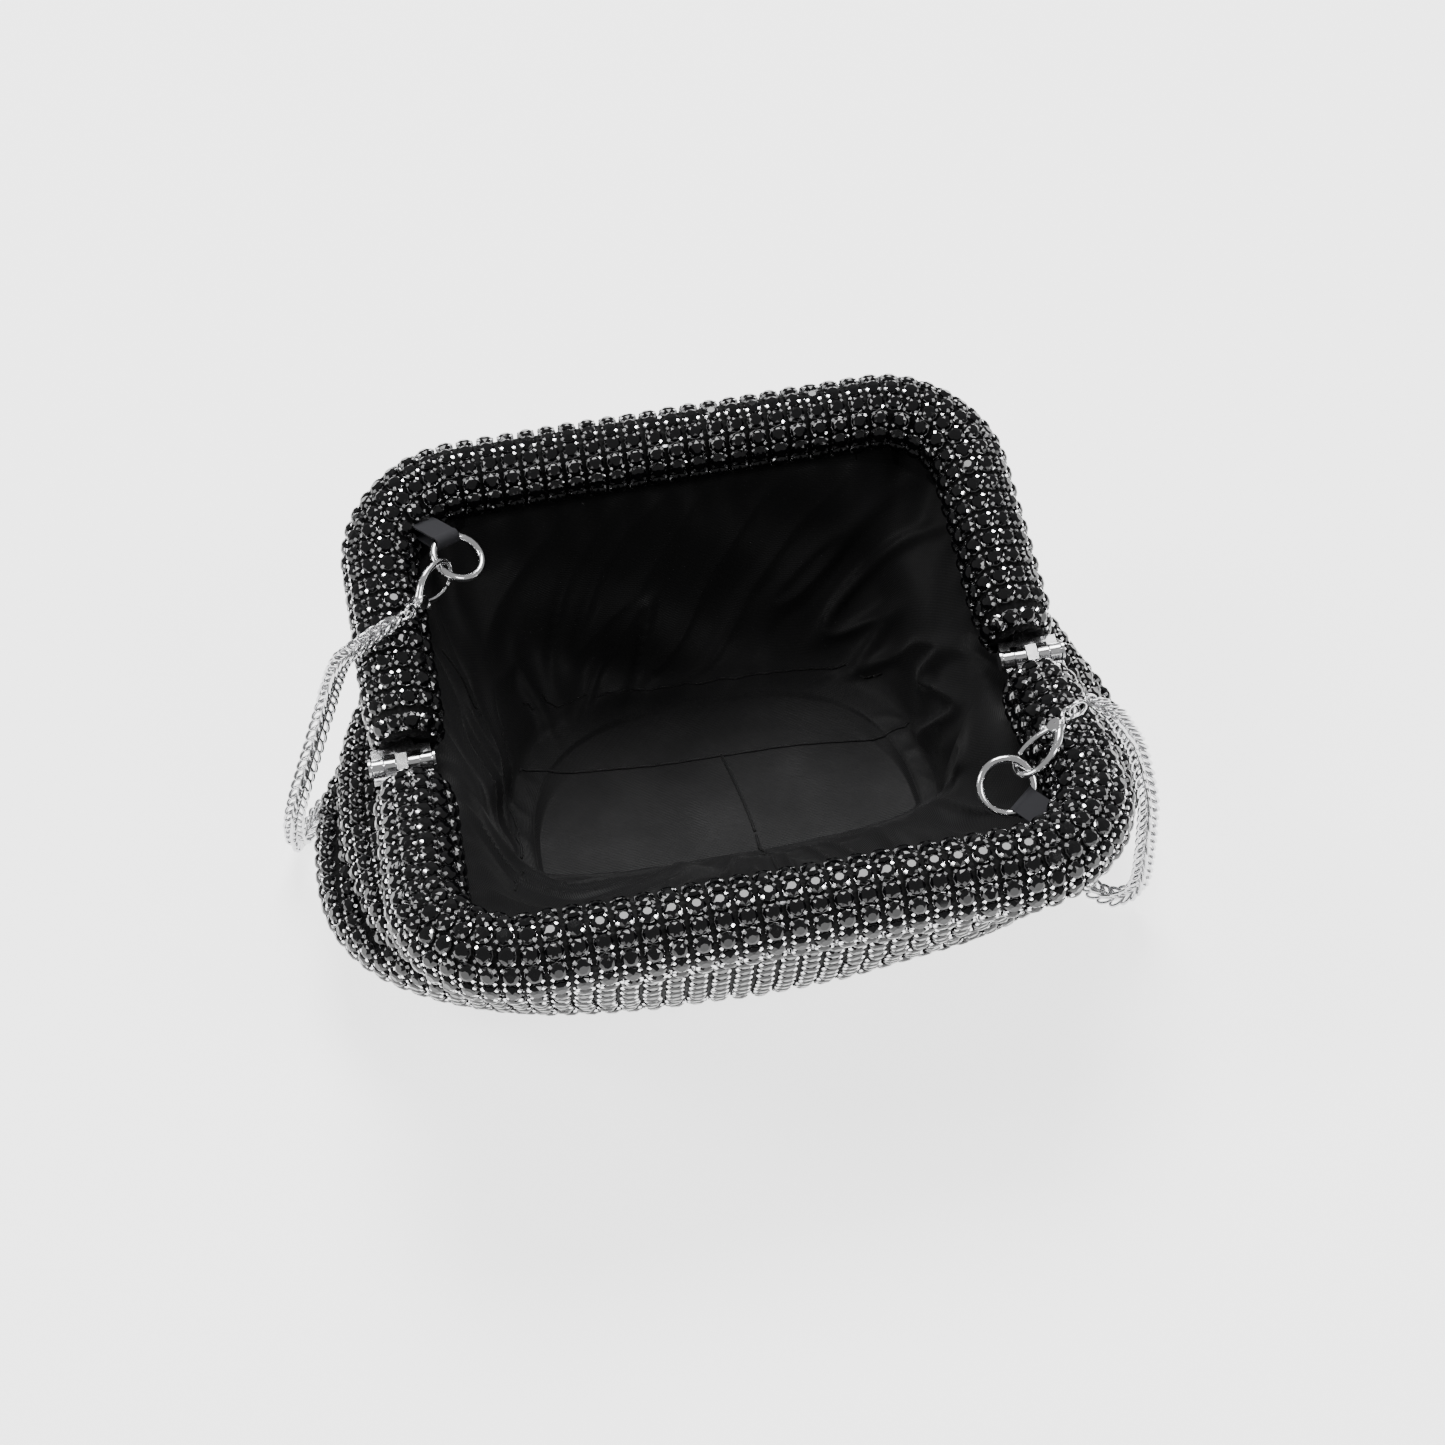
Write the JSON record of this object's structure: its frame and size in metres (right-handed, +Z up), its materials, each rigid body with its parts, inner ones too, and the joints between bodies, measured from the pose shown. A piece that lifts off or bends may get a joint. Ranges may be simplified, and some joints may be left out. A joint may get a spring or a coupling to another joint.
{
  "type": "evening bag",
  "caption": "Stone-covered evening bag with a padded hinged frame, a satin-lined pouch and a clip-on metal chain, standing open on a table.",
  "frame": {"origin": "on the table under the middle of the bag, without its chain", "axes": "+X along the hinge axis to the right, +Y towards the back, +Z up from the table"},
  "size_m": [0.2265, 0.1775, 0.0955],
  "materials": {
    "stone_mesh": "faceted black stones in silver cups",
    "satin_lining": "black satin",
    "foam": "matte foam",
    "frame_steel": "drawn wire",
    "magnet": "nickel-plated magnet",
    "nickel_hinge": "nickel plate",
    "polished_nickel": "polished nickel plate",
    "chain": "polished plait chain",
    "ribbon": "black grosgrain"
  },
  "bodies": {
    "pouch": {"front_panel": "stone_mesh", "back_panel": "stone_mesh", "left_gusset": "stone_mesh", "right_gusset": "stone_mesh", "bottom_panel": "stone_mesh", "lining_front": "satin_lining", "lining_back": "satin_lining", "lining_left": "satin_lining", "lining_right": "satin_lining", "lining_bottom": "satin_lining", "hinge_pin_left": "nickel_hinge", "hinge_pin_right": "nickel_hinge", "chain_floor_run": "chain"},
    "front_frame": {"front_frame_rod": "frame_steel", "front_foam_padding": "foam", "front_magnet": "magnet", "front_frame_cover": "stone_mesh", "front_hinge_leaf_left": "nickel_hinge", "front_hinge_leaf_right": "nickel_hinge", "ribbon_tab_right": "ribbon", "chain_right_drop": "chain"},
    "back_frame": {"back_frame_rod": "frame_steel", "back_foam_padding": "foam", "back_magnet": "magnet", "back_frame_cover": "stone_mesh", "back_hinge_leaf_left": "nickel_hinge", "back_hinge_leaf_right": "nickel_hinge", "ribbon_tab_left": "ribbon", "chain_left_drop": "chain"},
    "left_clasp": {"ring_left": "polished_nickel", "clasp_body_left": "polished_nickel", "clasp_pin_left": "polished_nickel", "end_link_left": "polished_nickel"},
    "right_clasp": {"ring_right": "polished_nickel", "clasp_body_right": "polished_nickel", "clasp_pin_right": "polished_nickel", "end_link_right": "polished_nickel"},
    "left_lever": {"clasp_lever_left": "polished_nickel"},
    "right_lever": {"clasp_lever_right": "polished_nickel"}
  },
  "joints": [
    {"name": "front_frame_hinge", "type": "hinge", "parent": "pouch", "child": "front_frame", "pos_m": [0, 0.00132, 0.061], "axis": [-1, 0, 0], "range_deg": [0, 68], "deforming": ["front_frame_cover", "front_foam_padding", "chain_right_drop"]},
    {"name": "back_frame_hinge", "type": "hinge", "parent": "pouch", "child": "back_frame", "pos_m": [0, 0.00132, 0.061], "axis": [1, 0, 0], "range_deg": [0, 60.5], "deforming": ["back_frame_cover", "back_foam_padding", "chain_left_drop"]},
    {"name": "left_clasp_swing", "type": "hinge", "parent": "back_frame", "child": "left_clasp", "pos_m": [-0.06139, 0.05617, 0.08457], "axis": [-0.4485, -0.8888, -0.0941], "range_deg": [-10, 10], "deforming": ["back_frame_cover", "back_foam_padding", "chain_left_drop", "ribbon_tab_left"]},
    {"name": "right_clasp_swing", "type": "hinge", "parent": "front_frame", "child": "right_clasp", "pos_m": [0.06407, -0.05484, 0.0695], "axis": [0.587, 0.601, 0.5424], "range_deg": [-10, 10], "deforming": ["front_frame_cover", "front_foam_padding", "chain_right_drop", "ribbon_tab_right"]},
    {"name": "left_lever_pivot", "type": "hinge", "parent": "left_clasp", "child": "left_lever", "pos_m": [-0.0699, 0.03689, 0.08129], "axis": [0.7666, -0.5952, 0.2411], "range_deg": [0, 16], "stiffness_Nm_per_rad": 0.005, "springref_deg": -17.19},
    {"name": "right_lever_pivot", "type": "hinge", "parent": "right_clasp", "child": "right_lever", "pos_m": [0.07409, -0.04197, 0.08017], "axis": [-0.4937, 0.0097, 0.8696], "range_deg": [0, 16], "stiffness_Nm_per_rad": 0.005, "springref_deg": -17.19}
  ],
  "couplings": [
    {"joint": "back_frame_hinge", "follows": "front_frame_hinge", "ratio": 0.8893}
  ]
}
